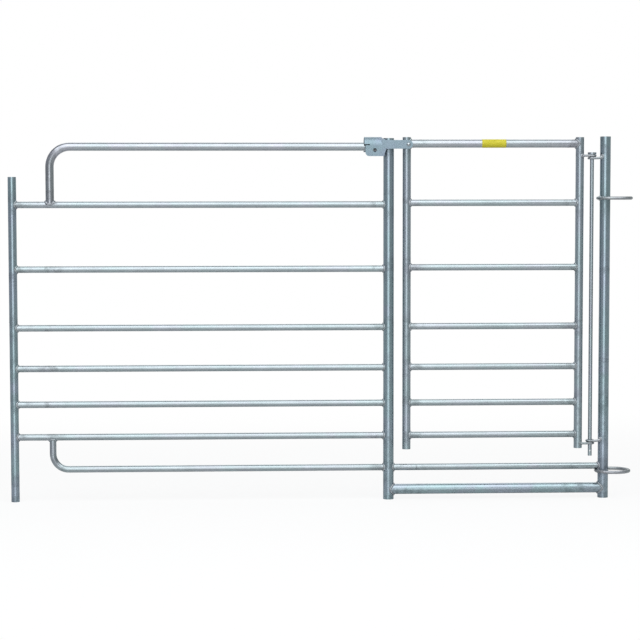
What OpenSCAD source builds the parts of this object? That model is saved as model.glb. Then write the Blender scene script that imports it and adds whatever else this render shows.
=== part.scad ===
/* [Layout] */
// Plug post axis to latch post axis
hurdle_bay = 1125; // [800:5:2400]
// Latch post axis to hinge post axis
gate_bay = 655; // [500:5:1200]
// Height of the latch post
post_h = 1090; // [1060:5:1300]
// Height of the hinge post
hinge_post_h = 1095; // [1060:5:1300]
// Height of the plug post
plug_h = 975; // [930:5:1040]
// Clear space between the latch post and the gate
latch_gap = 26; // [20:1:40]
// Clear space between the gate and the hinge post, with the hinge rod in its middle
hinge_gap = 49; // [44:1:60]

/* [Tubes] */
// Outside diameter of the latch post and the hinge post
post_d = 32; // [28:0.5:40]
// Wall of the latch post and the hinge post
post_wall = 2; // [1.5:0.1:3]
// Outside diameter of the plug post
plug_d = 25; // [22:0.5:30]
// Wall of the plug post
plug_wall = 2; // [1.5:0.1:3]
// Outside diameter of the straight rails, the bottom rail and the threshold rail
rail_d = 20; // [16:0.5:21]
// Wall of the straight rails, the bottom rail and the threshold rail
rail_wall = 1.5; // [1:0.1:2.5]
// Outside diameter of the bent top rail
top_d = 25; // [20:0.5:28]
// Wall of the bent top rail
top_wall = 1.5; // [1:0.1:2.5]
// Outside diameter of the sill rail
sill_d = 31; // [20:0.5:32]
// Wall of the sill rail
sill_wall = 2; // [1:0.1:3]
// Room for the weld between a coped tube end and what it meets
weld_gap = 0.2; // [0.1:0.05:0.3]
// How far the top rail's leg laps down beside rail 1
top_leg_lap = 8; // [2:0.5:9]
// How far the bottom rail's leg laps up beside rail 6
bottom_leg_lap = 4; // [2:0.5:6]

/* [Hurdle] */
// Height of the sill rail's axis
sill_z = 30; // [20:1:45]
// Height of the bottom rail and the threshold rail
bottom_z = 97; // [85:1:110]
// Bottom rail to rail 6
gap_6 = 97.5; // [80:0.5:110]
// Rail 6 to rail 5
gap_5 = 98.5; // [80:0.5:120]
// Rail 5 to rail 4
gap_4 = 108; // [90:0.5:130]
// Rail 4 to rail 3
gap_3 = 122; // [100:0.5:140]
// Rail 3 to rail 2
gap_2 = 176; // [150:0.5:190]
// Rail 2 to rail 1
gap_1 = 193; // [180:0.5:200]
// Rail 1 to the bent top rail
top_gap = 173; // [165:0.5:178]
// Plug post axis to the top rail's leg
top_leg_in = 112; // [60:1:200]
// Bend radius of the top rail at its axis
top_bend = 60; // [40:1:90]
// Plug post axis to the bottom rail's leg
bottom_leg_in = 114; // [60:1:200]
// Bend radius of the bottom rail at its axis
bottom_bend = 47; // [30:1:60]

/* [Coupling rings] */
// Bar of the coupling rings
ring_bar = 10; // [8:0.5:12]
// Length of a ring at the middle of its bar
ring_len = 100; // [94:1:130]
// Width of a ring at the middle of its bar
ring_w = 88; // [70:1:92]
// Height of the upper ring
ring_top_z = 910; // [880:1:925]
// Height of the lower ring
ring_low_z = 82; // [72:1:86]

/* [Gate] */
// Outside diameter of the gate's stiles
stile_d = 25; // [22:0.5:28]
// Wall of the gate's stiles
stile_wall = 1.5; // [1:0.1:2.5]
// Outside diameter of the gate's top rail
gate_top_d = 25; // [20:0.5:25]
// Wall of the gate's top rail
gate_top_wall = 1.5; // [1:0.1:2.5]
// Height of the stiles' lower ends
stile_low_z = 152; // [140:1:158]
// How far the stiles stand above the axis of the gate's top rail
stile_rise = 19; // [14:1:40]
// Threshold rail to gate rail 6
gate_gap_6 = 97.5; // [92:0.5:110]
// Gate rail 6 to gate rail 5
gate_gap_5 = 98.5; // [80:0.5:120]
// Gate rail 5 to gate rail 4
gate_gap_4 = 108.5; // [90:0.5:130]
// Gate rail 4 to gate rail 3
gate_gap_3 = 123; // [100:0.5:140]
// Gate rail 3 to gate rail 2
gate_gap_2 = 178; // [150:0.5:190]
// Gate rail 2 to gate rail 1
gate_gap_1 = 194; // [180:0.5:200]
// Gate rail 1 to the gate's top rail
gate_top_gap = 177.5; // [170:0.5:182]

/* [Hinge] */
// Diameter of the hinge rod
rod_d = 12; // [10:0.5:13]
// Diameter of the rod's head
rod_head_d = 26; // [20:0.5:30]
// Thickness of the rod's head
rod_head_t = 6; // [4:0.5:8]
// Height of the rod's lower tip
rod_low_z = 128; // [122:1:135]
// Tip of the rod to its cross hole
cross_hole_up = 15; // [9:0.5:20]
// Diameter of the cross hole
cross_hole_d = 5; // [3:0.5:6]
// Bar of the hinge eyes
eye_bar = 7; // [6:0.5:8]
// Angle that an eye's bar is bent round the rod
eye_turn = 280; // [240:1:284]
// Running room between the rod and an eye
eye_play = 0.5; // [0.3:0.1:1]
// Space between two eyes on the rod, and under its head
eye_gap = 0.5; // [0.3:0.1:1]
// Post's upper eye below the tops of the hinge post and the hinge stile, whichever is lower
eye_top_drop = 63; // [57:1:85]
// Height of the post's lower eye
eye_low_z = 174; // [168:1:180]
// Length of a post eye's tail that bends up before it meets the post
tail_run = 9; // [6:0.5:11]

/* [Latch] */
// Thickness of the latch plate
plate_t = 4; // [3:0.5:5]
// Height of the latch arm
arm_h = 26; // [20:1:30]
// Clear space between the latch plate and the latch post
latch_play = 5; // [5:0.5:8]
// Pivot's place from the stile's axis, towards the gate
pivot_in = 3.5; // [0:0.5:4]
// Pivot's depth below the axis of the gate's top rail
pivot_drop = 3; // [0:0.5:4]
// Diameter of the pivot
pivot_d = 8; // [7:0.5:12]
// Running room between the pivot and the latch
pivot_play = 0.4; // [0.3:0.1:0.8]
// Diameter of the pivot's collar
collar_d = 18; // [15:0.5:20]
// Diameter of the pivot's head
pivot_head_d = 12; // [11:0.5:18]
// Thickness of the pivot's domed head
pivot_head_t = 3.5; // [3:0.5:5]
// How far the hood reaches out over the hurdle from the latch post's axis
hood_out = 74; // [60:0.5:90]
// Clear space along the rail between the hood and the latch post
hood_play = 5.5; // [5:0.5:10]
// Pivot's height over the middle of the hood's roll
hood_drop = 2.5; // [0:0.5:6]
// Depth of the front cheek below the pivot
cheek_drop = 35; // [28:0.5:40]
// How far the front cheek stops short of the hood's outer end
cheek_short = 3; // [1:0.5:6]
// Corner radius at the front cheek's outer lower corner
cheek_round = 11; // [5:0.5:13]
// Run of the slope from the front cheek's lower edge up to the arm
cheek_slope = 8; // [4:0.5:12]
// Depth of the rear cheek below the pivot
rear_drop = 22; // [16:0.5:30]
// Length of the relief slit between the hood and the front cheek
slit_len = 16; // [10:0.5:22]
// Height of the relief slit
slit_h = 3; // [2:0.5:4]
// Diameter of the padlock hole
lock_hole_d = 12; // [8:0.5:14]
// Padlock hole's place from the front cheek's outer end
lock_hole_in = 28; // [22:0.5:36]
// Padlock hole's depth below the pivot
lock_hole_drop = 17; // [14:0.5:20]
// Run of the shoulder that slopes from the hood down to the arm
shoulder_run = 13; // [8:0.5:15]
// Rise of that shoulder over the arm
shoulder_rise = 6; // [3:0.5:7]

/* [Hidden] */

$fn = 48;
steel = "#aab4ba";
dull_steel = "#8d969b";

// cuts run past the faces that they open
over = 1;

// places along the hurdle
plug_x = -hurdle_bay;
hinge_x = gate_bay;
latch_stile_x = post_d / 2 + latch_gap + stile_d / 2;
hinge_stile_x = hinge_x - post_d / 2 - hinge_gap - stile_d / 2;
rod_x = hinge_x - post_d / 2 - hinge_gap / 2;

// heights of the rails, from rail 1 at the top to rail 6
rail_6_z = bottom_z + gap_6;
rail_5_z = rail_6_z + gap_5;
rail_4_z = rail_5_z + gap_4;
rail_3_z = rail_4_z + gap_3;
rail_2_z = rail_3_z + gap_2;
rail_1_z = rail_2_z + gap_1;
top_z = rail_1_z + top_gap;
gate_rail_6_z = bottom_z + gate_gap_6;
gate_rail_5_z = gate_rail_6_z + gate_gap_5;
gate_rail_4_z = gate_rail_5_z + gate_gap_4;
gate_rail_3_z = gate_rail_4_z + gate_gap_3;
gate_rail_2_z = gate_rail_3_z + gate_gap_2;
gate_rail_1_z = gate_rail_2_z + gate_gap_1;
gate_top_z = gate_rail_1_z + gate_top_gap;
stile_top_z = gate_top_z + stile_rise;

// the hinge: each gate eye sits on one side of a post eye
eye_r = rod_d / 2 + eye_play + eye_bar / 2;
eye_step = eye_bar + eye_gap;
eye_top_z = min(hinge_post_h, stile_top_z) - eye_top_drop;
gate_eye_top_z = eye_top_z + eye_step;
gate_eye_low_z = eye_low_z - eye_step;
rod_head_z = gate_eye_top_z + eye_bar / 2 + eye_gap;

// the latch: its plate runs past the front of the latch post
plate_in = post_d / 2 + latch_play;
plate_out = plate_in + plate_t;
pivot_x = latch_stile_x + pivot_in;
pivot_z = gate_top_z - pivot_drop;
hood_z = pivot_z - hood_drop;
hood_left = -hood_out;
hood_right = -post_d / 2 - hood_play;
cheek_left = hood_left + cheek_short;
cheek_low = pivot_z - cheek_drop;
arm_low = pivot_z - arm_h / 2;
arm_high = pivot_z + arm_h / 2;
shoulder_x = hood_right + shoulder_run;

// a bar or the bore of a tube along X
module rod_along_x(d, x0, x1, z) {
    translate([x0, 0, z])
        rotate([0, 90, 0])
            cylinder(d = d, h = x1 - x0);
}

// a bar or the bore of a tube along Z
module rod_along_z(d, x, z0, z1) {
    translate([x, 0, z0])
        cylinder(d = d, h = z1 - z0);
}

// an upright tube, open at both ends
module upright(d, wall, x, z0, z1) {
    difference() {
        rod_along_z(d, x, z0, z1);
        rod_along_z(d - 2 * wall, x, z0 - over, z1 + over);
    }
}

// a level tube between two uprights, with its ends coped to fit them
module coped_rail(d, wall, z, x0, d0, x1, d1) {
    difference() {
        rod_along_x(d, x0, x1, z);
        rod_along_x(d - 2 * wall, x0 - over, x1 + over, z);
        rod_along_z(d0 + 2 * weld_gap, x0, z - d, z + d);
        rod_along_z(d1 + 2 * weld_gap, x1, z - d, z + d);
    }
}

// a solid bar in the shape of a bent rail: an upright leg, a quarter bend and a level run;
// side is 1 where the leg stands under the run and -1 where it hangs above it
module bent_bar(d, leg_x, leg_end_z, run_z, run_end_x, bend, side) {
    bend_z = run_z - side * bend;
    rod_along_z(d, leg_x, min(leg_end_z, bend_z), max(leg_end_z, bend_z));
    translate([leg_x + bend, 0, bend_z])
        rotate([side * 90, 0, 0])
            rotate_extrude(angle = 90, start = 90)
                translate([bend, 0])
                    circle(d = d);
    rod_along_x(d, leg_x + bend, run_end_x, run_z);
}

// a bent tube whose leg is coped to a rail and whose run is coped to the latch post
module bent_rail(d, wall, leg_x, seat_z, lap, run_z, bend, side) {
    leg_end_z = seat_z + side * (rail_d / 2 - lap);
    difference() {
        bent_bar(d, leg_x, leg_end_z, run_z, 0, bend, side);
        bent_bar(d - 2 * wall, leg_x, leg_end_z - side * over, run_z, over, bend, side);
        rod_along_x(rail_d + 2 * weld_gap, leg_x - d, leg_x + d, seat_z);
        rod_along_z(post_d + 2 * weld_gap, 0, run_z - d, run_z + d);
    }
}

// one straight rail of the hurdle
module hurdle_rail(z) {
    color(steel)
        coped_rail(rail_d, rail_wall, z, plug_x, plug_d, 0, post_d);
}

// one straight rail of the gate
module gate_rail(z) {
    color(steel)
        coped_rail(rail_d, rail_wall, z, latch_stile_x, stile_d, hinge_stile_x, stile_d);
}

// an oval loop of round bar that holds the hinge post at one end and is open beyond it
module coupling_ring(z) {
    end_r = ring_w / 2;
    near_x = hinge_x - post_d / 2 - weld_gap - ring_bar / 2 + end_r;
    far_x = near_x + ring_len - ring_w;
    color(dull_steel)
        translate([0, 0, z]) {
            translate([near_x, 0, 0])
                rotate_extrude(angle = 180, start = 90)
                    translate([end_r, 0])
                        circle(d = ring_bar);
            translate([far_x, 0, 0])
                rotate_extrude(angle = 180, start = -90)
                    translate([end_r, 0])
                        circle(d = ring_bar);
            for (side = [-1, 1])
                translate([0, side * end_r, 0])
                    rod_along_x(ring_bar, near_x, far_x, 0);
        }
}

// bar bent round the hinge rod, which leaves at the front along X with a straight tail
module eye_hook(tail) {
    rotate_extrude(angle = eye_turn, start = 270 - eye_turn)
        translate([eye_r, 0])
            circle(d = eye_bar);
    translate([0, -eye_r, 0])
        rod_along_x(eye_bar, 0, tail, 0);
}

// a gate eye: its tail ends on the front of the hinge stile
module gate_eye(z) {
    tail = rod_x - hinge_stile_x - stile_d / 4;
    color(dull_steel)
        difference() {
            translate([rod_x, 0, z])
                mirror([1, 0, 0])
                    eye_hook(tail);
            rod_along_z(stile_d + 2 * weld_gap, hinge_stile_x, z - eye_bar, z + eye_bar);
        }
}

// a post eye: its tail bends up into the front of the hinge post
module post_eye(z) {
    tail = hinge_gap / 2 - tail_run;
    bend = tail_run + post_d / 2 - eye_bar / 2;
    color(dull_steel)
        difference() {
            translate([rod_x, 0, z]) {
                eye_hook(tail);
                translate([tail, -eye_r, bend])
                    rotate([90, 0, 0])
                        rotate_extrude(angle = 90, start = -90)
                            translate([bend, 0])
                                circle(d = eye_bar);
            }
            rod_along_z(post_d + 2 * weld_gap, hinge_x, z - post_d, z + post_d);
        }
}

module plug_post() {
    color(steel)
        upright(plug_d, plug_wall, plug_x, 0, plug_h);
}

module latch_post() {
    color(steel)
        upright(post_d, post_wall, 0, 0, post_h);
}

module hinge_post() {
    color(steel)
        upright(post_d, post_wall, hinge_x, 0, hinge_post_h);
}

module top_rail() {
    color(steel)
        bent_rail(top_d, top_wall, plug_x + top_leg_in, rail_1_z, top_leg_lap, top_z, top_bend, 1);
}

module bottom_rail() {
    color(steel)
        bent_rail(rail_d, rail_wall, plug_x + bottom_leg_in, rail_6_z, bottom_leg_lap, bottom_z, bottom_bend, -1);
}

module threshold_rail() {
    color(steel)
        coped_rail(rail_d, rail_wall, bottom_z, 0, post_d, hinge_x, post_d);
}

module sill_rail() {
    color(steel)
        coped_rail(sill_d, sill_wall, sill_z, 0, post_d, hinge_x, post_d);
}

// the rod hangs by its head and has a cross hole near its tip
module hinge_rod() {
    color(dull_steel)
        difference() {
            union() {
                rod_along_z(rod_d, rod_x, rod_low_z, rod_head_z + rod_head_t);
                rod_along_z(rod_head_d, rod_x, rod_head_z, rod_head_z + rod_head_t);
            }
            translate([rod_x, 0, rod_low_z + cross_hole_up])
                rotate([90, 0, 0])
                    cylinder(d = cross_hole_d, h = rod_d + 2 * over, center = true);
        }
}

module gate_latch_stile() {
    color(steel)
        upright(stile_d, stile_wall, latch_stile_x, stile_low_z, stile_top_z);
}

module gate_hinge_stile() {
    color(steel)
        upright(stile_d, stile_wall, hinge_stile_x, stile_low_z, stile_top_z);
}

module gate_top_rail() {
    color(steel)
        coped_rail(gate_top_d, gate_top_wall, gate_top_z, latch_stile_x, stile_d, hinge_stile_x, stile_d);
}

// a bar across the gate, from one distance in front of its middle plane to another
module pivot_bar(d, y0, y1) {
    translate([pivot_x, -y0, pivot_z])
        rotate([90, 0, 0])
            cylinder(d = d, h = y1 - y0);
}

// a collar on the gate's corner, a shank through the latch and a domed head
module latch_pivot() {
    collar_out = plate_in - pivot_play;
    head_in = plate_out + pivot_play;
    head_out = head_in + pivot_head_t;
    dome_r = (pow(pivot_head_d / 2, 2) + pow(pivot_head_t, 2)) / (2 * pivot_head_t);
    color(dull_steel)
        difference() {
            union() {
                pivot_bar(collar_d, stile_d / 4, collar_out);
                pivot_bar(pivot_d, stile_d / 4, head_in);
                intersection() {
                    pivot_bar(pivot_head_d, head_in, head_out);
                    translate([pivot_x, dome_r - head_out, pivot_z])
                        sphere(r = dome_r);
                }
            }
            rod_along_z(stile_d + 2 * weld_gap, latch_stile_x, pivot_z - collar_d, pivot_z + collar_d);
            rod_along_x(gate_top_d + 2 * weld_gap, latch_stile_x, pivot_x + collar_d, gate_top_z);
        }
}

// outline of the flat front of the latch, seen from the front: arm, shoulder and front cheek
module latch_outline() {
    difference() {
        union() {
            translate([hood_right, arm_low])
                square([pivot_x - hood_right, arm_h]);
            translate([pivot_x, pivot_z])
                circle(d = arm_h);
            translate([cheek_left + cheek_round, cheek_low])
                square([hood_right - cheek_left - cheek_round, hood_z - cheek_low]);
            translate([cheek_left, cheek_low + cheek_round])
                square([cheek_round, hood_z - cheek_low - cheek_round]);
            translate([cheek_left + cheek_round, cheek_low + cheek_round])
                circle(r = cheek_round);
            polygon([
                [hood_right, cheek_low],
                [shoulder_x - cheek_slope, cheek_low],
                [shoulder_x, arm_low],
                [shoulder_x, arm_high],
                [hood_right, arm_high + shoulder_rise]
            ]);
        }
        translate([pivot_x, pivot_z])
            circle(d = pivot_d + 2 * pivot_play);
        translate([cheek_left + lock_hole_in, pivot_z - lock_hole_drop])
            circle(d = lock_hole_d);
    }
}

// section of the hood across the rail: a half round over it, and the rear cheek behind it
module hood_section() {
    intersection() {
        difference() {
            circle(r = plate_out);
            circle(r = plate_in);
        }
        translate([-plate_out, 0])
            square([2 * plate_out, plate_out]);
    }
    translate([plate_in, hood_drop - rear_drop])
        square([plate_t, rear_drop - hood_drop]);
}

// one plate: a flat arm and front cheek, rolled over the top rail into a hood
module latch_lever() {
    color(steel)
        difference() {
            union() {
                translate([0, -plate_in, 0])
                    rotate([90, 0, 0])
                        linear_extrude(plate_t)
                            latch_outline();
                translate([hood_left, 0, hood_z])
                    rotate([90, 0, 90])
                        linear_extrude(hood_right - hood_left)
                            hood_section();
            }
            translate([hood_left - over, -plate_out - over, hood_z])
                cube([slit_len + over, plate_t + 2 * over, slit_h]);
        }
}

plug_post();
latch_post();
hinge_post();
top_rail();
hurdle_rail(rail_1_z);  // rail_1
hurdle_rail(rail_2_z);  // rail_2
hurdle_rail(rail_3_z);  // rail_3
hurdle_rail(rail_4_z);  // rail_4
hurdle_rail(rail_5_z);  // rail_5
hurdle_rail(rail_6_z);  // rail_6
bottom_rail();
threshold_rail();
sill_rail();
coupling_ring(ring_top_z);  // upper_ring
coupling_ring(ring_low_z);  // lower_ring
post_eye(eye_top_z);  // upper_post_eye
post_eye(eye_low_z);  // lower_post_eye
hinge_rod();
gate_latch_stile();
gate_hinge_stile();
gate_top_rail();
gate_rail(gate_rail_1_z);  // gate_rail_1
gate_rail(gate_rail_2_z);  // gate_rail_2
gate_rail(gate_rail_3_z);  // gate_rail_3
gate_rail(gate_rail_4_z);  // gate_rail_4
gate_rail(gate_rail_5_z);  // gate_rail_5
gate_rail(gate_rail_6_z);  // gate_rail_6
gate_eye(gate_eye_top_z);  // upper_gate_eye
gate_eye(gate_eye_low_z);  // lower_gate_eye
latch_pivot();
latch_lever();
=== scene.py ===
import math
import random

import bmesh
import bpy
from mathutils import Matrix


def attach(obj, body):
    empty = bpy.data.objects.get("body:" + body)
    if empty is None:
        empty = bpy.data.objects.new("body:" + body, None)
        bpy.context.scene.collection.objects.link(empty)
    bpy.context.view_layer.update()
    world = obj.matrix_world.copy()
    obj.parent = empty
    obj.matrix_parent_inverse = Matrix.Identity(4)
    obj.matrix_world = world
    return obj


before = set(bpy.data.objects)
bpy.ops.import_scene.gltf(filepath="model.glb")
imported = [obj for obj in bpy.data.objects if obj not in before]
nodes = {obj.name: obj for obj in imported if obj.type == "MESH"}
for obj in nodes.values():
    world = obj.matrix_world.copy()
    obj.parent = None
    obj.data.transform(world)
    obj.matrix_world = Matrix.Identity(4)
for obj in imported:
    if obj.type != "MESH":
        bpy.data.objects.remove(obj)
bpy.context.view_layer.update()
scene = bpy.context.scene
scene.view_settings.view_transform = "Standard"


# the camera stands in front of the hurdle, a little to the left of the latch post
view = {
    "place": (-0.436, -5.5575, 0.900),  # metres
    "down": 3.656, "roll": 0.080, "turn": -2.366,  # degrees
    "lens": 104.05, "sensor": 36.0,  # millimetres
}


def setCamera():
    lens = bpy.data.cameras.new("viewCamera")
    lens.sensor_fit = "HORIZONTAL"
    lens.sensor_width = view["sensor"]
    lens.lens = view["lens"]
    camera = bpy.data.objects.new("viewCamera", lens)
    camera.location = view["place"]
    angles = (90 - view["down"], view["roll"], view["turn"])
    camera.rotation_euler = [math.radians(a) for a in angles]
    scene.collection.objects.link(camera)
    scene.camera = camera


setCamera()
print("camera set")


# small helpers for node trees
def addNode(tree, kind, inputs=None, **settings):
    node = tree.nodes.new(kind)
    for name, value in settings.items():
        setattr(node, name, value)
    for name, value in (inputs or {}).items():
        node.inputs[name].default_value = value
    return node


def feed(tree, socket, value):
    if isinstance(value, bpy.types.NodeSocket):
        tree.links.new(value, socket)
    else:
        socket.default_value = value


def mathNode(tree, operation, *values, clamp=False):
    node = addNode(tree, "ShaderNodeMath", operation=operation, use_clamp=clamp)
    for i, value in enumerate(values):
        feed(tree, node.inputs[i], value)
    return node.outputs[0]


def addShares(tree, level, shares, clamp=False):
    for value, share in shares:
        level = mathNode(tree, "MULTIPLY_ADD", value, share, level, clamp=clamp)
    return level


def vectorNode(tree, operation, *values):
    node = addNode(tree, "ShaderNodeVectorMath", operation=operation)
    for i, value in enumerate(values):
        feed(tree, node.inputs[i], value)
    return node


def scaleColour(tree, colour, level):
    node = vectorNode(tree, "SCALE", colour)
    tree.links.new(level, node.inputs["Scale"])
    return node.outputs[0]


def mixColour(tree, factor, colourA, colourB):
    node = addNode(tree, "ShaderNodeMix", data_type="RGBA")
    for i, value in ((0, factor), (6, colourA), (7, colourB)):
        feed(tree, node.inputs[i], value)
    return node.outputs[2]


def rampValue(tree, value, low, high):
    limits = {"From Min": low, "From Max": high}
    node = addNode(tree, "ShaderNodeMapRange", limits, interpolation_type="SMOOTHSTEP")
    tree.links.new(value, node.inputs["Value"])
    return node.outputs[0]


def noiseValue(tree, vector, scale, detail=3.0, roughness=0.55):
    settings = {"Scale": scale, "Detail": detail, "Roughness": roughness}
    node = addNode(tree, "ShaderNodeTexNoise", settings)
    tree.links.new(vector, node.inputs["Vector"])
    return node.outputs[0]


def splitAxes(tree, vector):
    node = addNode(tree, "ShaderNodeSeparateXYZ")
    tree.links.new(vector, node.inputs[0])
    return node.outputs


def newGroup(name, kind, inputs, outputs):
    group = bpy.data.node_groups.new(name, kind)
    for label, socketType, value in inputs:
        socket = group.interface.new_socket(label, in_out="INPUT", socket_type=socketType)
        if value is not None:
            socket.default_value = value
    for label, socketType in outputs:
        group.interface.new_socket(label, in_out="OUTPUT", socket_type=socketType)
    return group, group.nodes.new("NodeGroupInput"), group.nodes.new("NodeGroupOutput")


def newMaterial(name):
    material = bpy.data.materials.new(name)
    material.use_nodes = True
    tree = material.node_tree
    return material, tree, tree.nodes["Principled BSDF"]


def opaque(colour):
    return colour + (1.0,)


# the room: grey all round, white where the camera looks, with a glow behind the hurdle for mirrored rays
room = {
    "left": (0.51, 0.53, 0.57), "right": (0.50, 0.54, 0.54), "sideSpan": 0.8,
    "glowTowards": (0.02, 0.999, 0.03), "glowInner": 0.970, "glowOuter": 0.900,
}
white = (1.0, 1.0, 1.0)


def backgroundRays(tree):
    path = addNode(tree, "ShaderNodeLightPath")
    through = path.outputs["Is Transmission Ray"]
    mirrored = mathNode(tree, "ADD", path.outputs["Is Glossy Ray"], through, clamp=True)
    return path.outputs["Is Camera Ray"], mirrored


def setWorld():
    world = bpy.data.worlds.new("studioRoom")
    world.use_nodes = True
    scene.world = world
    tree = world.node_tree
    towards = addNode(tree, "ShaderNodeTexCoord").outputs["Generated"]
    facing = vectorNode(tree, "DOT_PRODUCT", towards, room["glowTowards"]).outputs["Value"]
    glow = rampValue(tree, facing, room["glowOuter"], room["glowInner"])
    seen, mirrored = backgroundRays(tree)
    glow = mathNode(tree, "MULTIPLY_ADD", glow, mirrored, seen, clamp=True)
    side = rampValue(tree, splitAxes(tree, towards)["X"], -room["sideSpan"], room["sideSpan"])
    walls = mixColour(tree, side, opaque(room["left"]), opaque(room["right"]))
    colour = mixColour(tree, glow, walls, opaque(white))
    tree.links.new(colour, tree.nodes["Background"].inputs["Color"])


# the floor: pale, fading into white away from the hurdle, with a sheen where metal sees it at a low angle
floorLook = {
    "half": 40.0, "colour": (0.66, 0.66, 0.66),
    "seenNear": 0.87, "mirroredNear": 0.10,  # share of plain white under the hurdle
    "fadeFrom": 0.5, "fadeTo": 2.4, "fadeBeside": 1.2,  # metres
    "sheenFrom": 0.80, "sheenFull": 0.86, "sheen": 0.85, "sheenRoughness": 0.16,
}


def mixShaders(tree, share, shaderA, shaderB):
    node = addNode(tree, "ShaderNodeMixShader")
    for i, socket in enumerate((share, shaderA.outputs[0], shaderB.outputs[0])):
        tree.links.new(socket, node.inputs[i])
    return node


def makeFloorMaterial():
    look = floorLook
    material = bpy.data.materials.new("paleFloor")
    material.use_nodes = True
    tree = material.node_tree
    tree.nodes.clear()
    output = addNode(tree, "ShaderNodeOutputMaterial")
    diffuse = addNode(tree, "ShaderNodeBsdfDiffuse", {"Color": opaque(look["colour"])})
    glow = addNode(tree, "ShaderNodeEmission", {"Color": opaque(white), "Strength": 1.0})
    axes = splitAxes(tree, addNode(tree, "ShaderNodeTexCoord").outputs["Object"])
    seen, mirrored = backgroundRays(tree)
    # the camera sees it fade on every side, and mirrored rays only behind the hurdle
    beside = mathNode(tree, "SUBTRACT", mathNode(tree, "ABSOLUTE", axes["X"]), look["fadeBeside"])
    away = mathNode(tree, "MAXIMUM", mathNode(tree, "ABSOLUTE", axes["Y"]), beside)
    seenFade = rampValue(tree, away, look["fadeFrom"], look["fadeTo"])
    seenShare = mathNode(tree, "MULTIPLY_ADD", seenFade, 1.0 - look["seenNear"], look["seenNear"])
    seenShare = mathNode(tree, "MULTIPLY", seenShare, seen)
    fade = rampValue(tree, axes["Y"], look["fadeFrom"], look["fadeTo"])
    mirroredShare = mathNode(tree, "MULTIPLY_ADD", fade, 1.0 - look["mirroredNear"], look["mirroredNear"])
    share = mathNode(tree, "MULTIPLY_ADD", mirroredShare, mirrored, seenShare, clamp=True)
    pale = mixShaders(tree, share, diffuse, glow)
    # sheen at a low angle
    gloss = {"Color": opaque(white), "Roughness": look["sheenRoughness"]}
    polish = addNode(tree, "ShaderNodeBsdfGlossy", gloss)
    facing = addNode(tree, "ShaderNodeLayerWeight", {"Blend": 0.5}).outputs["Facing"]
    low = rampValue(tree, facing, look["sheenFrom"], look["sheenFull"])
    low = mathNode(tree, "MULTIPLY", low, look["sheen"])
    surface = mixShaders(tree, mathNode(tree, "MULTIPLY", low, mirrored), pale, polish)
    tree.links.new(surface.outputs[0], output.inputs["Surface"])
    return material


def setFloor():
    half = floorLook["half"]
    corners = [(-half, -half, 0), (half, -half, 0), (half, half, 0), (-half, half, 0)]
    mesh = bpy.data.meshes.new("studioFloor")
    mesh.from_pydata(corners, [], [(0, 1, 2, 3)])
    floor = bpy.data.objects.new("studioFloor", mesh)
    scene.collection.objects.link(floor)
    mesh.materials.append(makeFloorMaterial())


# lamps: a wide softbox overhead, a panel behind the camera and one behind the hurdle
lamps = [
    {"name": "overheadSoftbox", "place": (-0.3, -2.25, 3.0), "turn": (0, 0, 4), "size": (6.0, 4.0),
     "radiance": 2.15, "colour": (0.98, 0.99, 1.0)},
    {"name": "frontPanel", "place": (-1.1, -8.0, 3.0), "turn": (90, 0, 0), "size": (5.6, 6.0),
     "radiance": 1.45, "colour": (0.98, 0.99, 1.0)},
    {"name": "backPanel", "place": (-0.2, 5.0, 5.2), "turn": (-48, 0, 0), "size": (6.0, 4.6),
     "radiance": 1.3, "colour": (1.0, 1.0, 1.0)},
]


def setLamps():
    for lamp in lamps:
        light = bpy.data.lights.new(lamp["name"], "AREA")
        light.shape = "RECTANGLE"
        light.size, light.size_y = lamp["size"]
        light.energy = lamp["radiance"] * math.pi * light.size * light.size_y
        light.color = lamp["colour"]
        panel = bpy.data.objects.new(lamp["name"], light)
        panel.location = lamp["place"]
        panel.rotation_euler = [math.radians(a) for a in lamp["turn"]]
        panel.visible_camera = False
        scene.collection.objects.link(panel)


setWorld()
setFloor()
setLamps()
print("studio set")


# where the pieces meet, in metres, read from the frame
readDigits = 4  # a tenth of a millimetre, because the frame's meshes have facets
railNumbers = range(1, 7)


def span(name, axis):
    places = [getattr(vertex.co, axis) for vertex in nodes[name].data.vertices]
    return round(min(places), readDigits), round(max(places), readDigits)


def middle(name, axis):
    return sum(span(name, axis)) / 2


def halfWidth(name, axis):
    low, high = span(name, axis)
    return (high - low) / 2


def readTubes():
    return {
        "plugX": middle("plug_post", "x"), "plugR": halfWidth("plug_post", "x"),
        "latchX": middle("latch_post", "x"), "hingeX": middle("hinge_post", "x"),
        "postR": halfWidth("latch_post", "x"),
        "rails": [middle("rail_%d" % i, "z") for i in railNumbers], "railR": halfWidth("rail_1", "z"),
        "sillZ": middle("sill_rail", "z"), "sillR": halfWidth("sill_rail", "z"),
        "stileXs": [middle("gate_latch_stile", "x"), middle("gate_hinge_stile", "x")],
        "stileR": halfWidth("gate_latch_stile", "x"),
        "gateRails": [middle("gate_rail_%d" % i, "z") for i in railNumbers],
        "gateTopZ": middle("gate_top_rail", "z"), "gateTopR": halfWidth("gate_top_rail", "z"),
    }


# bent rails: the axes of the run and the leg, and how far the leg's end stands from the axis of its rail
def readBentRails(tubes):
    topR, railR, rails = halfWidth("top_rail", "y"), tubes["railR"], tubes["rails"]
    topLow, topHigh = span("top_rail", "z")
    bottomLow, bottomHigh = span("bottom_rail", "z")
    return {
        "topR": topR, "topZ": topHigh - topR, "topLegX": span("top_rail", "x")[0] + topR,
        "topSeat": topLow - rails[0],
        "bottomZ": bottomLow + railR, "bottomLegX": span("bottom_rail", "x")[0] + railR,
        "bottomSeat": rails[-1] - bottomHigh,
    }


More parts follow.
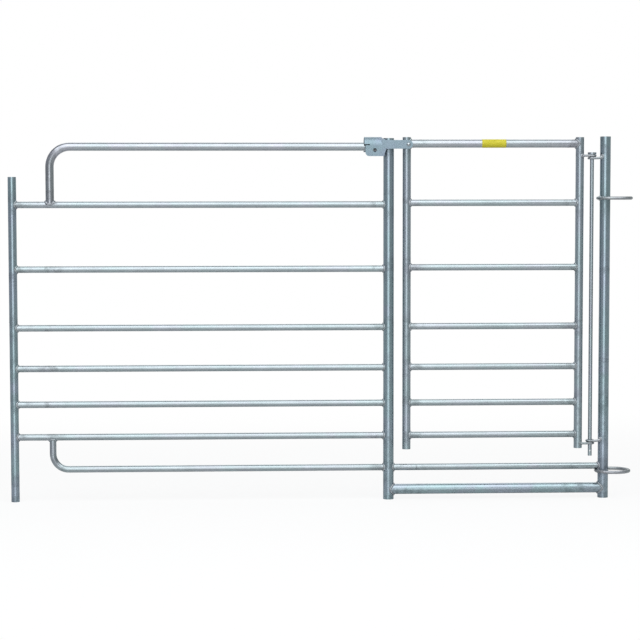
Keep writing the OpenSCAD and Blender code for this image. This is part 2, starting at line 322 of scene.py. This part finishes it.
# fittings: the round bars where they reach a post or a stile, and the latch
def readFittings():
    barR = halfWidth("upper_gate_eye", "z")
    return {
        "eyeBarR": barR, "eyeY": span("upper_gate_eye", "y")[0] + barR,
        "postEyes": [span(name, "z")[0] + barR for name in ("upper_post_eye", "lower_post_eye")],
        "gateEyes": [middle(name, "z") for name in ("upper_gate_eye", "lower_gate_eye")],
        "rings": [middle(name, "z") for name in ("upper_ring", "lower_ring")],
        "ringBarR": halfWidth("upper_ring", "z"),
        "pivot": (middle("latch_pivot", "x"), middle("latch_pivot", "z")),
        "collarR": halfWidth("latch_pivot", "x"), "hoodLeft": span("latch_lever", "x")[0],
    }


tubes = readTubes()
layout = {**tubes, **readBentRails(tubes), **readFittings()}
print("layout read")


# the zinc skin that every steel piece has: crystals of 5 to 8 mm, clouds a hand wide with mottling in them,
# streaks where the zinc ran, and specks of dross in loose patches
skin = {
    "raggedScale": 240.0, "raggedShift": (0.004, 0.004, 0.004), "crystalScale": 150.0,
    "cloudScale": 11.0, "mottleScale": 55.0, "mottleShare": 0.35,
    "dotScale": 210.0, "dotCore": 0.10, "dotEdge": 0.24,
    "patchScale": 38.0, "patchFrom": 0.56, "patchFull": 0.66,
    "hueScale": 7.5, "hueFrom": 0.38, "hueFull": 0.62,
    "blushScale": 10.0, "blushPlace": (3.1, 1.7, 5.3), "blushFrom": 0.46, "blushFull": 0.66,
    "gloss": {"crystal": 0.025, "cloud": -0.14, "mottle": -0.05, "speck": 0.15},
    "relief": {"cloud": 2.5, "mottle": 0.5, "streak": 0.20, "crystal": 0.05, "speck": 0.30},
}


def aroundZero(tree, value):
    return mathNode(tree, "SUBTRACT", value, 0.5)


def makeClouds(group, vector, scale):
    return aroundZero(group, noiseValue(group, vector, scale, detail=4.0, roughness=0.6))


def makeCrystals(group, vector):
    ragged = addNode(group, "ShaderNodeTexNoise", {"Scale": skin["raggedScale"], "Detail": 2.0})
    group.links.new(vector, ragged.inputs["Vector"])
    shifted = vectorNode(group, "MULTIPLY_ADD", ragged.outputs["Color"], skin["raggedShift"], vector)
    cells = addNode(group, "ShaderNodeTexVoronoi", {"Scale": skin["crystalScale"], "Randomness": 1.0})
    group.links.new(shifted.outputs[0], cells.inputs["Vector"])
    tone = addNode(group, "ShaderNodeSeparateColor")
    group.links.new(cells.outputs["Color"], tone.inputs[0])
    return aroundZero(group, tone.outputs[0])


def makeSpecks(group, vector):
    dots = addNode(group, "ShaderNodeTexVoronoi", {"Scale": skin["dotScale"], "Randomness": 1.0})
    group.links.new(vector, dots.inputs["Vector"])
    edge = rampValue(group, dots.outputs["Distance"], skin["dotCore"], skin["dotEdge"])
    patch = noiseValue(group, vector, skin["patchScale"], detail=2.0)
    patch = rampValue(group, patch, skin["patchFrom"], skin["patchFull"])
    return mathNode(group, "MULTIPLY", mathNode(group, "SUBTRACT", 1.0, edge), patch)


def makeTint(group, vector, base, cool, violet):
    hue = rampValue(group, noiseValue(group, vector, skin["hueScale"]), skin["hueFrom"], skin["hueFull"])
    moved = vectorNode(group, "ADD", vector, skin["blushPlace"]).outputs[0]
    blush = noiseValue(group, moved, skin["blushScale"])
    blush = rampValue(group, blush, skin["blushFrom"], skin["blushFull"])
    return mixColour(group, blush, mixColour(group, hue, base, cool), violet)


def makeZincSkin():
    amounts = ("Crystal", "Cloud", "Streak", "Speck", "Roughness")
    group, source, sink = newGroup(
        "zincSkin", "ShaderNodeTree",
        [("Vector", "NodeSocketVector", None), ("Streak Scale", "NodeSocketVector", None)]
        + [(label, "NodeSocketColor", None) for label in ("Base", "Cool", "Violet")]
        + [(label, "NodeSocketFloat", None) for label in amounts],
        [("Color", "NodeSocketColor"), ("Roughness", "NodeSocketFloat"), ("Height", "NodeSocketFloat")])
    given = source.outputs
    vector = given["Vector"]
    stretched = vectorNode(group, "MULTIPLY", vector, given["Streak Scale"]).outputs[0]
    marks = {
        "crystal": makeCrystals(group, vector),
        "cloud": makeClouds(group, vector, skin["cloudScale"]),
        "mottle": makeClouds(group, vector, skin["mottleScale"]),
        "streak": aroundZero(group, noiseValue(group, stretched, 1.0, roughness=0.6)),
        "speck": makeSpecks(group, vector),
    }
    # brightness
    mottling = mathNode(group, "MULTIPLY", given["Cloud"], skin["mottleShare"])
    level = addShares(group, 1.0, [
        (marks["crystal"], given["Crystal"]), (marks["cloud"], given["Cloud"]),
        (marks["mottle"], mottling), (marks["streak"], given["Streak"])])
    speckShare = mathNode(group, "MULTIPLY", marks["speck"], given["Speck"])
    level = mathNode(group, "MULTIPLY", level, mathNode(group, "SUBTRACT", 1.0, speckShare))
    tint = makeTint(group, vector, given["Base"], given["Cool"], given["Violet"])
    group.links.new(scaleColour(group, tint, level), sink.inputs["Color"])
    glossShares = [(marks[mark], share) for mark, share in skin["gloss"].items()]
    gloss = addShares(group, given["Roughness"], glossShares, clamp=True)
    group.links.new(gloss, sink.inputs["Roughness"])
    reliefShares = [(marks[mark], share) for mark, share in skin["relief"].items()]
    group.links.new(addShares(group, 0.0, reliefShares), sink.inputs["Height"])
    return group


zincSkin = makeZincSkin()

# one finish for each way that the steel is used: streaks run along the tube, and smears lie at the joints
# along the axis that is named
alongX, alongZ = (5.0, 110.0, 110.0), (110.0, 110.0, 5.0)
tubeSkin = {"crystal": 0.04, "cloud": 0.26, "streak": 0.08, "speck": 0.22}
finishes = {
    "zincTopRail": {
        **tubeSkin,
        "base": (0.326, 0.344, 0.366), "cool": (0.310, 0.346, 0.362), "violet": (0.330, 0.339, 0.374),
        "streakScale": alongX, "roughness": 0.19, "relief": 0.018, "smears": "X"},
    "zincRail": {
        **tubeSkin,
        "base": (0.308, 0.345, 0.362), "cool": (0.295, 0.347, 0.359), "violet": (0.316, 0.341, 0.369),
        "streakScale": alongX, "roughness": 0.19, "relief": 0.018, "smears": "X"},
    "zincSill": {
        "base": (0.272, 0.336, 0.366), "cool": (0.256, 0.342, 0.358), "violet": (0.286, 0.326, 0.374),
        "crystal": 0.04, "cloud": 0.22, "streak": 0.08, "speck": 0.18,
        "streakScale": alongX, "roughness": 0.27, "relief": 0.016, "smears": "X"},
    "zincPost": {
        **tubeSkin,
        "base": (0.280, 0.348, 0.385), "cool": (0.270, 0.358, 0.382), "violet": (0.292, 0.342, 0.398),
        "streakScale": alongZ, "roughness": 0.22, "relief": 0.020, "smears": "Z"},
    "zincStile": {
        **tubeSkin,
        "base": (0.318, 0.370, 0.403), "cool": (0.304, 0.376, 0.398), "violet": (0.328, 0.364, 0.413),
        "streakScale": alongZ, "roughness": 0.29, "relief": 0.020, "smears": "Z"},
    "zincBar": {
        "base": (0.300, 0.320, 0.330), "cool": (0.270, 0.300, 0.310), "violet": (0.285, 0.295, 0.315),
        "crystal": 0.08, "cloud": 0.36, "streak": 0.14, "speck": 0.40,
        "streakScale": (60.0, 60.0, 30.0), "roughness": 0.42, "relief": 0.08},
    "zincRod": {
        "base": (0.340, 0.380, 0.405), "cool": (0.320, 0.380, 0.395), "violet": (0.340, 0.360, 0.410),
        "crystal": 0.06, "cloud": 0.30, "streak": 0.12, "speck": 0.30,
        "streakScale": (90.0, 90.0, 6.0), "roughness": 0.27, "relief": 0.03},
    "zincPlate": {
        "base": (0.242, 0.305, 0.354), "cool": (0.232, 0.310, 0.346), "violet": (0.253, 0.300, 0.374),
        "crystal": 0.06, "cloud": 0.22, "streak": 0.08, "speck": 0.24,
        "streakScale": (18.0, 60.0, 70.0), "roughness": 0.56, "relief": 0.04},
    "zincStud": {
        "base": (0.345, 0.372, 0.395), "cool": (0.330, 0.372, 0.390), "violet": (0.350, 0.364, 0.398),
        "crystal": 0.04, "cloud": 0.20, "streak": 0.06, "speck": 0.20,
        "streakScale": (90.0, 90.0, 90.0), "roughness": 0.24, "relief": 0.02},
    "zincWeld": {
        "base": (0.345, 0.370, 0.388), "cool": (0.310, 0.350, 0.362), "violet": (0.320, 0.335, 0.360),
        "crystal": 0.12, "cloud": 0.50, "streak": 0.16, "speck": 0.40,
        "streakScale": (90.0, 90.0, 90.0), "roughness": 0.50, "relief": 0.10},
}

# smears: dull patches that the torch and the flux left beside a joint
smear = {
    "reach": 0.058, "core": 0.012, "scale": 34.0, "patchFrom": 0.46, "patchFull": 0.60,
    "dim": 0.26, "dull": 0.14,
}
jointsAlong = {
    "X": [layout["plugX"] + layout["plugR"], layout["topLegX"],
          layout["latchX"] - layout["postR"], layout["latchX"] + layout["postR"],
          layout["stileXs"][0] + layout["stileR"], layout["stileXs"][1] - layout["stileR"],
          layout["hingeX"] - layout["postR"]],
    "Z": [layout["topZ"], layout["sillZ"], layout["bottomZ"], *layout["rails"]],
}
# painted shade on the stretch of the top rail that the latch hood covers
hoodShade = {"inset": 0.004, "beforePost": 0.008, "edge": 0.006, "dim": 0.62}
reliefDepth = 0.002  # metres for a height of 1 in the skin


def addSmears(tree, vector, axis, colour, gloss):
    along = splitAxes(tree, vector)[axis]
    nearest = 1.0
    for place in jointsAlong[axis]:
        away = mathNode(tree, "ABSOLUTE", mathNode(tree, "SUBTRACT", along, place))
        nearest = mathNode(tree, "MINIMUM", away, nearest)
    near = mathNode(tree, "SUBTRACT", 1.0, rampValue(tree, nearest, smear["core"], smear["reach"]))
    patch = noiseValue(tree, vector, smear["scale"], roughness=0.6)
    mask = mathNode(tree, "MULTIPLY", near, rampValue(tree, patch, smear["patchFrom"], smear["patchFull"]))
    level = mathNode(tree, "MULTIPLY_ADD", mask, -smear["dim"], 1.0)
    return scaleColour(tree, colour, level), mathNode(tree, "MULTIPLY_ADD", mask, smear["dull"], gloss)


# painted shade: the top rail's colour is darkened where the latch hood covers it
def addHoodShade(tree, vector, colour):
    along = splitAxes(tree, vector)["X"]
    start = layout["hoodLeft"] + hoodShade["inset"]
    end = layout["latchX"] - layout["postR"] - hoodShade["beforePost"]
    after = rampValue(tree, along, start - hoodShade["edge"], start + hoodShade["edge"])
    past = rampValue(tree, along, end - hoodShade["edge"], end + hoodShade["edge"])
    mask = mathNode(tree, "MULTIPLY", after, mathNode(tree, "SUBTRACT", 1.0, past))
    return scaleColour(tree, colour, mathNode(tree, "MULTIPLY_ADD", mask, -hoodShade["dim"], 1.0))


def makeZinc(name):
    finish = finishes[name]
    material, tree, shader = newMaterial(name)
    place = addNode(tree, "ShaderNodeTexCoord").outputs["Object"]
    zincNode = addNode(tree, "ShaderNodeGroup", node_tree=zincSkin)
    tree.links.new(place, zincNode.inputs["Vector"])
    zincNode.inputs["Streak Scale"].default_value = finish["streakScale"]
    for label in ("Base", "Cool", "Violet"):
        zincNode.inputs[label].default_value = opaque(finish[label.lower()])
    for label in ("Crystal", "Cloud", "Streak", "Speck", "Roughness"):
        zincNode.inputs[label].default_value = finish[label.lower()]
    colour, gloss = zincNode.outputs["Color"], zincNode.outputs["Roughness"]
    if "smears" in finish:
        colour, gloss = addSmears(tree, place, finish["smears"], colour, gloss)
    # the top rail gets painted shade under the latch hood
    if name == "zincTopRail":
        colour = addHoodShade(tree, place, colour)
    bump = addNode(tree, "ShaderNodeBump", {"Strength": finish["relief"], "Distance": reliefDepth})
    tree.links.new(zincNode.outputs["Height"], bump.inputs["Height"])
    tree.links.new(colour, shader.inputs["Base Color"])
    tree.links.new(gloss, shader.inputs["Roughness"])
    tree.links.new(bump.outputs[0], shader.inputs["Normal"])
    shader.inputs["Metallic"].default_value = 1.0
    return material


zinc = {name: makeZinc(name) for name in finishes}
finishOf = {
    "zincPost": ["plug_post", "latch_post", "hinge_post"],
    "zincStile": ["gate_latch_stile", "gate_hinge_stile"],
    "zincBar": [end + piece for end in ("upper_", "lower_") for piece in ("ring", "post_eye", "gate_eye")],
    "zincRod": ["hinge_rod"],
    "zincPlate": ["latch_lever"],
    "zincStud": ["latch_pivot"],
    "zincTopRail": ["top_rail", "gate_top_rail"],
    "zincSill": ["sill_rail"],
}
finishOf["zincRail"] = [name for name in nodes if not any(name in names for names in finishOf.values())]
for finishName, names in finishOf.items():
    for name in names:
        slots = nodes[name].data.materials
        slots.clear()
        slots.append(zinc[finishName])
print("zinc finishes on", sum(len(names) for names in finishOf.values()), "nodes")


# welds: the script lays each path where two pieces meet, and the tree makes the bead and its spatter
weld = {
    "bead": 0.0027, "pitch": 0.0030, "ripple": 0.10, "uneven": 0.40, "unevenScale": 130.0, "step": 0.0007,
    "sides": 8, "seamSteps": 80, "standOff": 1.04,  # the path lies this many tube radii out
    "nearest": 0.22,  # least distance of a path from its post's axis, in post radii
    "spatter": 0.0008, "spatterSizes": (0.6, 1.2), "spatterCount": 5,
    "lumpSizes": (2.0, 3.4), "lumpCount": 2,
    "onRail": (0.005, 0.022), "onPost": (0.004, 0.016),  # how far the spatter flew
    "seed": 4,
}
# beads on the eyes, the rings and the latch pivot's collar
barWeld = {
    "standOff": 1.1, "eyeSteps": 40,  # the eye's path lies this many bar radii out
    "leastSquare": 0.00001,  # square metres; holds the path on the stile where the bar stands past its side
    "tailTurn": 0.025, "tailBend": 0.0215,  # metres: where a post eye's tail turns up, and the bend's radius
    "ringOff": 0.0006, "ringRise": 0.78,  # metres off the post, and bar radii from the ring's middle
    "ringHalf": 38.0, "ringSteps": 32,  # degrees each way round the post
    "collarSteps": 60,
}
# how thick the bead is at each kind of joint, in bead radii
beadScale = {
    "rail": 1.0, "topRail": 1.05, "topLeg": 1.25, "bottomLeg": 1.1, "sill": 1.1,
    "ring": 1.2, "postEye": 0.95, "gateEye": 0.85, "collar": 0.7,
}
# lumps at the foot of the bent top rail: metres along rail 1, out and up, and size in spatter radii
legLumps = [
    (0.0135, -0.0085, 0.0045, 4.6), (0.0100, -0.0092, 0.0020, 3.4), (0.0030, -0.0100, -0.0010, 2.8),
    (-0.0080, -0.0094, 0.0015, 3.0), (-0.0128, -0.0082, 0.0048, 3.2),
]
dice = random.Random(weld["seed"])


def circleAngles(steps):
    return [2 * math.pi * i / steps for i in range(steps)]


def railSeam(postX, postR, railR, z, side):
    seam = []
    for t in circleAngles(weld["seamSteps"]):
        y = railR * math.sin(t)
        out = math.sqrt(max(postR ** 2 - y ** 2, (weld["nearest"] * postR) ** 2))
        seam.append((postX + side * out, y * weld["standOff"], z + railR * math.cos(t) * weld["standOff"]))
    return seam


def legSeam(legX, legR, railZ, side, seat):
    seam = []
    for t in circleAngles(weld["seamSteps"]):
        y = legR * math.sin(t)
        rise = math.sqrt(max(layout["railR"] ** 2 - y ** 2, seat ** 2))
        x = legX + legR * math.cos(t) * weld["standOff"]
        seam.append((x, y * weld["standOff"], railZ + side * rise))
    return seam


def eyeCircle():
    r = barWeld["standOff"] * layout["eyeBarR"]
    angles = circleAngles(barWeld["eyeSteps"])
    return [(layout["eyeY"] + r * math.cos(t), r * math.sin(t)) for t in angles]


def depthAt(radius, y):
    return math.sqrt(max(radius ** 2 - y ** 2, barWeld["leastSquare"]))


# the tail of a post eye bends up before it meets the post, so its seam is tilted
def postEyeSeam(z):
    postX, postR = layout["hingeX"], layout["postR"]
    turnX = postX - barWeld["tailTurn"]
    reach = postX - math.sqrt(postR ** 2 - layout["eyeY"] ** 2) - turnX
    tilt = math.asin(reach / barWeld["tailBend"])
    rise = barWeld["tailBend"] * (1 - math.cos(tilt))
    seam = []
    for y, up in eyeCircle():
        x = postX - depthAt(postR, y)
        lean = (x - turnX - reach + up * math.sin(tilt)) * math.tan(tilt)
        seam.append((x, y, z + rise + up * math.cos(tilt) + lean))
    return seam


def gateEyeSeam(z):
    stileX, stileR = layout["stileXs"][1], layout["stileR"]
    return [(stileX + depthAt(stileR, y), y, z + up) for y, up in eyeCircle()]


def ringSeam(z, side):
    r = layout["postR"] + barWeld["ringOff"]
    up = side * barWeld["ringRise"] * layout["ringBarR"]
    seam = []
    for i in range(barWeld["ringSteps"] + 1):
        a = math.radians(barWeld["ringHalf"] * (2 * i / barWeld["ringSteps"] - 1))
        seam.append((layout["hingeX"] - r * math.cos(a), r * math.sin(a), z + up))
    return seam


def collarSeam():
    pivotX, pivotZ = layout["pivot"]
    stileX = layout["stileXs"][0]
    r = weld["standOff"] * layout["collarR"]
    seam = []
    for t in circleAngles(barWeld["collarSteps"]):
        x, z = pivotX + r * math.cos(t), pivotZ + r * math.sin(t)
        depth = math.sqrt(max(layout["stileR"] ** 2 - (x - stileX) ** 2, 0.0))
        if x > stileX:
            onRail = layout["gateTopR"] ** 2 - (z - layout["gateTopZ"]) ** 2
            depth = max(depth, math.sqrt(max(onRail, 0.0)))
        seam.append((x, -depth, z))
    return seam


# each seam is (points, closed, bead scale)
def hurdleSeams():
    p, thick = layout, beadScale
    latchX, hingeX, postR, railR = p["latchX"], p["hingeX"], p["postR"], p["railR"]
    seams = []
    for z in p["rails"]:
        seams.append((railSeam(p["plugX"], p["plugR"], railR, z, 1), True, thick["rail"]))
        seams.append((railSeam(latchX, postR, railR, z, -1), True, thick["rail"]))
    topLeg = legSeam(p["topLegX"], p["topR"], p["rails"][0], 1, p["topSeat"])
    bottomLeg = legSeam(p["bottomLegX"], railR, p["rails"][-1], -1, p["bottomSeat"])
    seams.append((railSeam(latchX, postR, p["topR"], p["topZ"], -1), True, thick["topRail"]))
    seams.append((topLeg, True, thick["topLeg"]))
    seams.append((railSeam(latchX, postR, railR, p["bottomZ"], -1), True, thick["rail"]))
    seams.append((bottomLeg, True, thick["bottomLeg"]))
    # threshold and sill
    for z, r in ((p["bottomZ"], railR), (p["sillZ"], p["sillR"])):
        seams.append((railSeam(latchX, postR, r, z, 1), True, thick["sill"]))
        seams.append((railSeam(hingeX, postR, r, z, -1), True, thick["sill"]))
    for z in p["rings"]:
        seams += [(ringSeam(z, side), False, thick["ring"]) for side in (-1, 1)]
    seams += [(postEyeSeam(z), True, thick["postEye"]) for z in p["postEyes"]]
    return seams


def gateSeams():
    p, thick = layout, beadScale
    seams = []
    for z, r in [(z, p["railR"]) for z in p["gateRails"]] + [(p["gateTopZ"], p["gateTopR"])]:
        for x, side in zip(p["stileXs"], (1, -1)):
            seams.append((railSeam(x, p["stileR"], r, z, side), True, thick["rail"]))
    seams += [(gateEyeSeam(z), True, thick["gateEye"]) for z in p["gateEyes"]]
    seams.append((collarSeam(), True, thick["collar"]))
    return seams


# spatter lies on the tubes, within a thumb's width of a rail's end, and lumps lie on the front of the bead;
# each point is (x, y, z, scale)
def spatterPoints(ends):
    railR = layout["railR"]
    points = []
    for postX, side, postR, z in ends:
        seam = railSeam(postX, postR, railR, z, side)
        for i in range(weld["lumpCount"]):
            points.append(dice.choice(seam[len(seam) // 2:]) + (dice.uniform(*weld["lumpSizes"]),))
        for i in range(weld["spatterCount"]):
            t = dice.uniform(0, 2 * math.pi)
            if i % 2:
                x = postX + side * (postR + dice.uniform(*weld["onRail"]))
                points.append((x, railR * math.sin(t), z + railR * math.cos(t), 1.0))
            else:
                up = dice.choice((-1, 1)) * (railR + dice.uniform(*weld["onPost"]))
                points.append((postX + postR * math.cos(t), postR * math.sin(t), z + up, 1.0))
    return points


weldInputs = [
    ("Bead Radius", "NodeSocketFloat", weld["bead"]), ("Pitch", "NodeSocketFloat", weld["pitch"]),
    ("Ripple", "NodeSocketFloat", weld["ripple"]), ("Uneven", "NodeSocketFloat", weld["uneven"]),
    ("Step", "NodeSocketFloat", weld["step"]), ("Spatter Radius", "NodeSocketFloat", weld["spatter"]),
    ("Seed", "NodeSocketInt", weld["seed"]),
]


# radius: the seam's own scale, a ripple for each pass of the torch, and slow noise
def beadRadius(tree, given, ownScale):
    along = addNode(tree, "GeometryNodeSplineParameter")
    turns = mathNode(tree, "DIVIDE", along.outputs["Length"], given["Pitch"])
    wave = mathNode(tree, "SINE", mathNode(tree, "MULTIPLY", turns, 2 * math.pi))
    place = addNode(tree, "GeometryNodeInputPosition").outputs[0]
    slow = aroundZero(tree, noiseValue(tree, place, weld["unevenScale"], detail=2.0))
    swing = mathNode(tree, "MULTIPLY", given["Uneven"], 2.0)
    swell = addShares(tree, 1.0, [(wave, given["Ripple"]), (slow, swing)])
    return mathNode(tree, "MULTIPLY", mathNode(tree, "MULTIPLY", ownScale, given["Bead Radius"]), swell)


# spatter sits on the points that no seam runs through
def scatterSpatter(tree, given, ownScale):
    neighbours = addNode(tree, "GeometryNodeInputMeshVertexNeighbors")
    isLoose = addNode(tree, "FunctionNodeCompare", data_type="INT", operation="EQUAL")
    tree.links.new(neighbours.outputs["Vertex Count"], isLoose.inputs[2])
    toPoints = addNode(tree, "GeometryNodeMeshToPoints", mode="VERTICES")
    tree.links.new(given["Seams"], toPoints.inputs["Mesh"])
    tree.links.new(isLoose.outputs[0], toPoints.inputs["Selection"])
    drop = addNode(tree, "GeometryNodeMeshIcoSphere", {"Subdivisions": 2})
    tree.links.new(given["Spatter Radius"], drop.inputs["Radius"])
    sizes = addNode(tree, "FunctionNodeRandomValue", data_type="FLOAT")
    sizes.inputs[2].default_value, sizes.inputs[3].default_value = weld["spatterSizes"]
    tree.links.new(given["Seed"], sizes.inputs["Seed"])
    scatter = addNode(tree, "GeometryNodeInstanceOnPoints")
    tree.links.new(toPoints.outputs[0], scatter.inputs["Points"])
    tree.links.new(drop.outputs["Mesh"], scatter.inputs["Instance"])
    tree.links.new(mathNode(tree, "MULTIPLY", sizes.outputs[1], ownScale), scatter.inputs["Scale"])
    return scatter.outputs[0]


def makeWeldTree():
    tree, source, sink = newGroup(
        "weldBeadTree", "GeometryNodeTree",
        [("Seams", "NodeSocketGeometry", None)] + weldInputs, [("Bead", "NodeSocketGeometry")])
    link = tree.links.new
    given = source.outputs
    own = addNode(tree, "GeometryNodeInputNamedAttribute", {"Name": "beadScale"}, data_type="FLOAT")
    ownScale = own.outputs["Attribute"]
    toCurve = addNode(tree, "GeometryNodeMeshToCurve")
    link(given["Seams"], toCurve.inputs["Mesh"])
    resample = addNode(tree, "GeometryNodeResampleCurve", mode="LENGTH")
    link(toCurve.outputs["Curve"], resample.inputs["Curve"])
    link(given["Step"], resample.inputs["Length"])
    section = {"Resolution": weld["sides"], "Radius": 1.0}
    profile = addNode(tree, "GeometryNodeCurvePrimitiveCircle", section)
    sweep = addNode(tree, "GeometryNodeCurveToMesh", {"Fill Caps": True})
    link(resample.outputs[0], sweep.inputs["Curve"])
    link(profile.outputs["Curve"], sweep.inputs["Profile Curve"])
    link(beadRadius(tree, given, ownScale), sweep.inputs["Scale"])
    both = addNode(tree, "GeometryNodeJoinGeometry")
    link(sweep.outputs[0], both.inputs[0])
    link(scatterSpatter(tree, given, ownScale), both.inputs[0])
    real = addNode(tree, "GeometryNodeRealizeInstances")
    link(both.outputs[0], real.inputs[0])
    smooth = addNode(tree, "GeometryNodeSetShadeSmooth")
    link(real.outputs[0], smooth.inputs[0])
    finish = addNode(tree, "GeometryNodeSetMaterial", {"Material": zinc["zincWeld"]})
    link(smooth.outputs[0], finish.inputs[0])
    link(finish.outputs[0], sink.inputs[0])
    return tree


def seamMesh(name, seams, points):
    vertices, edges, scales = [], [], []
    for seam, closed, scale in seams:
        first, last = len(vertices), len(vertices) + len(seam) - 1
        vertices += seam
        scales += [scale] * len(seam)
        edges += [(i, i + 1) for i in range(first, last)]
        if closed:
            edges.append((last, first))
    vertices += [point[:3] for point in points]
    scales += [point[3] for point in points]
    mesh = bpy.data.meshes.new(name + "Seams")
    mesh.from_pydata(vertices, edges, [])
    mesh.attributes.new("beadScale", "FLOAT", "POINT").data.foreach_set("value", scales)
    return mesh


def makeWelds(name, body, seams, points):
    maker = bpy.data.objects.new(name + "Seams", seamMesh(name, seams, points))
    scene.collection.objects.link(maker)
    modifier = maker.modifiers.new("welds", "NODES")
    modifier.node_group = weldTree
    chosen = {label: value for label, socketType, value in weldInputs}
    for item in weldTree.interface.items_tree:
        if item.in_out == "INPUT" and item.name in chosen:
            modifier[item.identifier] = chosen[item.name]
    bpy.context.view_layer.update()
    depsgraph = bpy.context.evaluated_depsgraph_get()
    made = bpy.data.meshes.new_from_object(maker.evaluated_get(depsgraph), depsgraph=depsgraph)
    made.name = name
    maker.modifiers.remove(modifier)
    bpy.data.objects.remove(maker)
    piece = bpy.data.objects.new(name, made)
    scene.collection.objects.link(piece)
    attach(piece, body)
    print(name, "faces:", len(made.polygons))


def makeAllWelds():
    p = layout
    hurdleEnds = [(p["plugX"], 1, p["plugR"], z) for z in p["rails"]]
    hurdleEnds += [(p["latchX"], -1, p["postR"], z) for z in p["rails"]]
    gateEnds = [(x, side, p["stileR"], z) for z in p["gateRails"] for x, side in zip(p["stileXs"], (1, -1))]
    lumps = [(p["topLegX"] + x, y, p["rails"][0] + z, size) for x, y, z, size in legLumps]
    makeWelds("hurdleWelds", "hurdle", hurdleSeams(), spatterPoints(hurdleEnds) + lumps)
    makeWelds("gateWelds", "gate", gateSeams(), spatterPoints(gateEnds))


weldTree = makeWeldTree()
makeAllWelds()
print("welds made")


# label: plain yellow film wrapped round the front of the gate's top rail
label = {
    "from": 0.2805, "to": 0.3535, "lift": 0.00012, "thick": 0.00022, "corner": 0.0030,
    "half": 84,  # degrees above and below the front of the rail
    "rows": 28, "columns": 36,
    "colour": (0.43, 0.385, 0.012), "faded": (0.48, 0.43, 0.030), "soil": (0.22, 0.20, 0.03),
    "fadeScale": 70.0, "fadeFrom": 0.35, "fadeFull": 0.70,
    "grimeScale": 260.0, "grimeFrom": 0.56, "grimeFull": 0.78, "grime": 0.35, "grimeDull": 0.2,
    "roughness": 0.48, "sheen": 0.28, "crinkleScale": 120.0, "crinkle": 0.08, "crinkleDepth": 0.001,
}


def makeFilm():
    material, tree, shader = newMaterial("yellowFilm")
    place = addNode(tree, "ShaderNodeTexCoord").outputs["Object"]
    fade = noiseValue(tree, place, label["fadeScale"], detail=4.0)
    fade = rampValue(tree, fade, label["fadeFrom"], label["fadeFull"])
    colour = mixColour(tree, fade, opaque(label["colour"]), opaque(label["faded"]))
    grime = noiseValue(tree, place, label["grimeScale"], detail=5.0, roughness=0.65)
    grime = rampValue(tree, grime, label["grimeFrom"], label["grimeFull"])
    soiled = mathNode(tree, "MULTIPLY", grime, label["grime"])
    colour = mixColour(tree, soiled, colour, opaque(label["soil"]))
    gloss = mathNode(tree, "MULTIPLY_ADD", grime, label["grimeDull"], label["roughness"])
    relief = {"Strength": label["crinkle"], "Distance": label["crinkleDepth"]}
    bump = addNode(tree, "ShaderNodeBump", relief)
    tree.links.new(noiseValue(tree, place, label["crinkleScale"]), bump.inputs["Height"])
    tree.links.new(colour, shader.inputs["Base Color"])
    tree.links.new(gloss, shader.inputs["Roughness"])
    tree.links.new(bump.outputs[0], shader.inputs["Normal"])
    shader.inputs["Specular IOR Level"].default_value = label["sheen"]
    return material


def makeLabel():
    z, radius = layout["gateTopZ"], layout["gateTopR"] + label["lift"]
    rows, columns, corner = label["rows"], label["columns"], label["corner"]
    arc = math.radians(label["half"]) * radius
    shape = bmesh.new()
    grid = []
    for j in range(rows + 1):
        v = -arc + 2 * arc * j / rows
        # rounded corners: the end of each row is drawn in near the top and the bottom
        near = max(0.0, abs(v) - (arc - corner))
        inset = corner - math.sqrt(max(corner ** 2 - near ** 2, 0.0))
        left, right = label["from"] + inset, label["to"] - inset
        y, up = -radius * math.cos(v / radius), radius * math.sin(v / radius)
        places = [left + (right - left) * i / columns for i in range(columns + 1)]
        grid.append([shape.verts.new((x, y, z + up)) for x in places])
    for low, high in zip(grid, grid[1:]):
        for i in range(columns):
            shape.faces.new((low[i], low[i + 1], high[i + 1], high[i])).smooth = True
    mesh = bpy.data.meshes.new("railLabel")
    shape.to_mesh(mesh)
    shape.free()
    piece = bpy.data.objects.new("railLabel", mesh)
    scene.collection.objects.link(piece)
    wall = piece.modifiers.new("film", "SOLIDIFY")
    wall.thickness, wall.offset = label["thick"], 1.0
    mesh.materials.append(makeFilm())
    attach(piece, "gate")


makeLabel()
print("label made")
